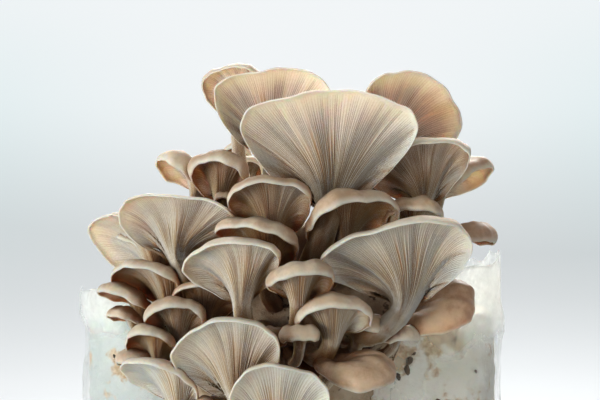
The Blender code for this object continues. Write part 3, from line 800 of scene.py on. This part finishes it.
# Where dark chips lie just under the film: x and z on the front of the block, and length, in mm.
CHIPS = (
    (74, 187, 3.0), (72, 190, 2.0), (53, 178, 4.5), (52, 174, 5.0), (55, 181, 2.5), (48, 171, 3.6),
    (45, 169, 2.4), (32, 163, 2.5), (-80, 179, 2.5), (66, 160, 2.0), (84, 172, 1.8), (-60, 150, 2.4),
    (20, 140, 2.6), (58, 120, 3.2), (-35, 110, 2.8), (-82, 96, 2.4), (70, 80, 3.0), (5, 72, 2.2),
    (-50, 52, 3.0), (40, 40, 2.6), (-12, 98, 2.0),
)
CHIP_SEED = 12


def make_chips():
    """Bark chips in the front of the block and, mirrored, in its back, as one mesh of bent flakes."""
    low, high = box_mm("substrate_block")
    half = (high - low)[:2] / 2
    draw = random.Random(CHIP_SEED)
    noise.seed_set(CHIP_SEED)  # without it, noise_vector differs from run to run
    work = bmesh.new()
    for x, z, long in CHIPS:
        for mirrored in (1, -1):
            y = -mirrored * half[1] * (1 - abs(x / half[0]) ** SQUARENESS) ** (1 / SQUARENESS)
            made = bmesh.ops.create_icosphere(work, subdivisions=2, radius=1.0)
            scale = Matrix.Diagonal((long * 0.5, 0.9, long * draw.uniform(0.22, 0.4), 1))
            tilt = Matrix.Rotation(draw.uniform(0, math.pi), 4, "Y")
            move = Matrix.Translation((x * mirrored, y + mirrored * 1.0, z))
            for vert in made["verts"]:
                vert.co += 0.45 * Vector(noise.noise_vector(vert.co * 2.2 + Vector((x, z, 0))))
                vert.co = MM * (move @ tilt @ scale @ vert.co)
    mesh = bpy.data.meshes.new("bark_chips")
    work.to_mesh(mesh)
    work.free()
    mesh.shade_smooth()
    mesh.materials.append(CHIP)
    obj = bpy.data.objects.new("bark_chips", mesh)
    bpy.context.scene.collection.objects.link(obj)
    return obj


# --------------------------------------------------------------------------------------------------
# Stage, lights and camera
# --------------------------------------------------------------------------------------------------
BOWL_RADIUS = 3.2  # metres, as are the next two
BOWL_FLAT = 1.2
BOWL_HEIGHT = 2.6
BOWL_SIDES = 96
BOWL_BENDS = 16
# How strongly the paper glows in front of and behind the object, and how much less beside it.
GLOW_FRONT, GLOW_BACK, GLOW_DIP = 0.55, 0.86, 0.10


def make_stage():
    """A round studio floor that curves up into a wall, the same shape from every side."""
    profile = [(0.0, 0.0), (BOWL_FLAT, 0.0)]
    bend = BOWL_RADIUS - BOWL_FLAT
    for k in range(1, BOWL_BENDS + 1):
        t = math.pi / 2 * k / BOWL_BENDS
        profile.append((BOWL_FLAT + bend * math.sin(t), bend * (1 - math.cos(t))))
    profile.append((BOWL_RADIUS, BOWL_HEIGHT))
    points, faces = [], []
    for k in range(BOWL_SIDES):
        turn = math.tau * k / BOWL_SIDES
        points += [(r * math.cos(turn), r * math.sin(turn), z) for r, z in profile[1:]]
    rows = len(profile) - 1
    for k in range(BOWL_SIDES):
        n = (k + 1) % BOWL_SIDES
        faces += [(k * rows + i, n * rows + i, n * rows + i + 1, k * rows + i + 1) for i in range(rows - 1)]
    points.append((0, 0, 0))
    faces += [(len(points) - 1, (k + 1) % BOWL_SIDES * rows, k * rows) for k in range(BOWL_SIDES)]
    mesh = bpy.data.meshes.new("studio_floor")
    mesh.from_pydata(points, [], faces)
    mesh.shade_smooth()
    mesh.materials.append(stage_material())
    floor = bpy.data.objects.new("studio_floor", mesh)
    bpy.context.scene.collection.objects.link(floor)
    floor.visible_diffuse = False  # it is the backdrop's picture; the lamps and the world light the object


def area_light(name, place, aim, size, power, colour):
    lamp = bpy.data.lights.new(name, "AREA")
    lamp.shape = "DISK"
    lamp.size = size
    lamp.energy = power
    lamp.color = colour
    obj = bpy.data.objects.new(name, lamp)
    obj.location = place
    obj.rotation_euler = (Vector(aim) - Vector(place)).to_track_quat("-Z", "Y").to_euler()
    obj.visible_camera = False
    bpy.context.scene.collection.objects.link(obj)


def make_lights():
    low, high = (Vector(corner) for corner in CAD_BOX)
    aim = Vector(((low.x + high.x) / 2, (low.y + high.y) / 2, 0.7 * high.z))
    area_light("back_light", aim + Vector((0.15, 1.1, 0.95)), aim, 1.2, 40, (1.0, 0.98, 0.95))
    area_light("left_light", aim + Vector((-1.3, -0.3, 0.2)), aim, 0.8, 7, (1.0, 0.99, 0.97))
    area_light("front_light", aim + Vector((-0.85, -1.15, -0.15)), aim, 0.8, 19, (1.0, 0.985, 0.94))
    area_light("fill_light", aim + Vector((0.6, -1.3, -0.4)), aim, 1.0, 11, (1.0, 0.94, 0.85))
    world = bpy.data.worlds.new("studio")
    world.use_nodes = True
    sky = world.node_tree.nodes["Background"]
    sky.inputs["Color"].default_value = (0.95, 0.97, 0.97, 1)
    sky.inputs["Strength"].default_value = 0.20
    bpy.context.scene.world = world


CAMERA_DISTANCE = 0.70  # metres in front of the bag's middle
CAMERA_HEIGHT = 0.25
CAMERA_SIDE = 0.004
CAMERA_LENS = 85.5  # mm, on a sensor 36 mm wide


def make_camera():
    camera = bpy.data.cameras.new("camera")
    camera.lens = CAMERA_LENS
    camera.sensor_width = 36
    obj = bpy.data.objects.new("camera", camera)
    obj.location = (CAMERA_SIDE, -CAMERA_DISTANCE, CAMERA_HEIGHT)
    obj.rotation_euler = (math.radians(90), 0, 0)
    bpy.context.scene.collection.objects.link(obj)
    bpy.context.scene.camera = obj
    bpy.context.scene.view_settings.view_transform = "Standard"


# --------------------------------------------------------------------------------------------------
# Putting it together
# --------------------------------------------------------------------------------------------------
MUSHROOM = mushroom_material()
SUBSTRATE = substrate_material()
BASE = base_material()
FILM = film_material()
CHIP = chip_material()


def place(piece, node, slot):
    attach(piece, "root")
    if node:
        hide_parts(node)


for row in GROWTH:
    place(make_mushroom(row), row[0], "mushroom")
place(make_block(), "substrate_block", "substrate")
place(make_film(), "bag_film", "film")
place(make_base(), "cluster_base", "fused_stems")
place(make_chips(), None, "substrate")

make_stage()
make_lights()
make_camera()
